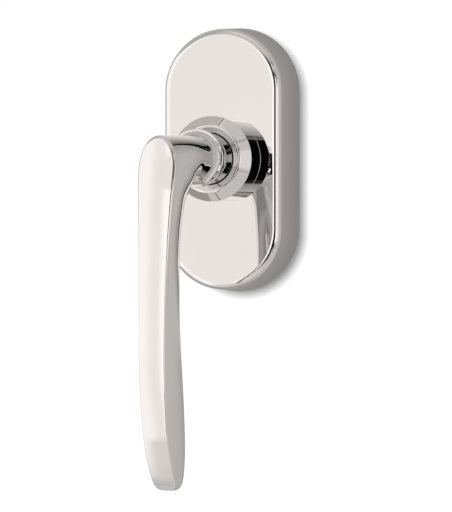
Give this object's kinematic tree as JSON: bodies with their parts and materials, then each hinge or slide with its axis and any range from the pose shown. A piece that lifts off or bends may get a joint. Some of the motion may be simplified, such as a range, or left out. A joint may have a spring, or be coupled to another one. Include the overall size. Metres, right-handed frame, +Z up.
{
  "type": "window lever handle",
  "caption": "Tilt-and-turn window lever handle: slim curved lever on a ringed neck, bevelled collar and tall oval rosette, with square spindle and fixing screws at the back.",
  "frame": {"origin": "on the spindle axis, in the plane of the mounting face that lies on the window profile", "axes": "+Z up along the rosette, +Y into the window along the spindle, the room and the lever on the -Y side, the lever hanging down (closed)"},
  "size_m": [0.0364, 0.1, 0.1239],
  "materials": {
    "polished_chrome": "mirror-polished warm chrome",
    "zinc_die_cast": "matt as-cast zinc alloy",
    "spring_steel": "oiled spring steel",
    "plated_steel": "bright zinc-plated steel",
    "hardened_steel": "hardened ground steel",
    "black_oxide_steel": "black oxide steel",
    "nylon": "natural nylon"
  },
  "bodies": {
    "base": {"base_plate": "zinc_die_cast", "back_plate": "plated_steel", "back_plate_screws": "plated_steel", "cover_clips": "spring_steel", "neck_bush": "nylon", "thrust_washer": "plated_steel", "disc_spring": "spring_steel", "fixing_screws": "plated_steel", "detent_spring_upper": "spring_steel", "detent_spring_lower": "spring_steel"},
    "cover": {"rosette_cover": "polished_chrome", "collar_ring": "polished_chrome", "collar_lock_ring": "spring_steel"},
    "lever": {"lever": "polished_chrome", "lever_grub_screw": "black_oxide_steel", "neck_sleeve": "polished_chrome", "detent_disc": "hardened_steel", "retaining_ring": "spring_steel", "spindle": "plated_steel", "spindle_pin": "plated_steel"},
    "ball_upper": {"detent_ball_upper": "hardened_steel"},
    "ball_lower": {"detent_ball_lower": "hardened_steel"}
  },
  "joints": [
    {"name": "lever_turn", "type": "hinge", "parent": "base", "child": "lever", "pos_m": [0, 0, 0], "axis": [0, 1, 0], "continuous": true},
    {"name": "cover_lift", "type": "slide", "parent": "base", "child": "cover", "axis": [0, -1, 0], "range_m": [0, 0.0065]},
    {"name": "ball_upper_slide", "type": "slide", "parent": "base", "child": "ball_upper", "axis": [0, 0, -1], "range_m": [0, 0.0009], "stiffness_N_per_m": 2000, "springref_m": 0.0024, "deforming": ["detent_spring_upper"]},
    {"name": "ball_lower_slide", "type": "slide", "parent": "base", "child": "ball_lower", "axis": [0, 0, 1], "range_m": [0, 0.0009], "stiffness_N_per_m": 2000, "springref_m": 0.0024, "deforming": ["detent_spring_lower"]}
  ]
}
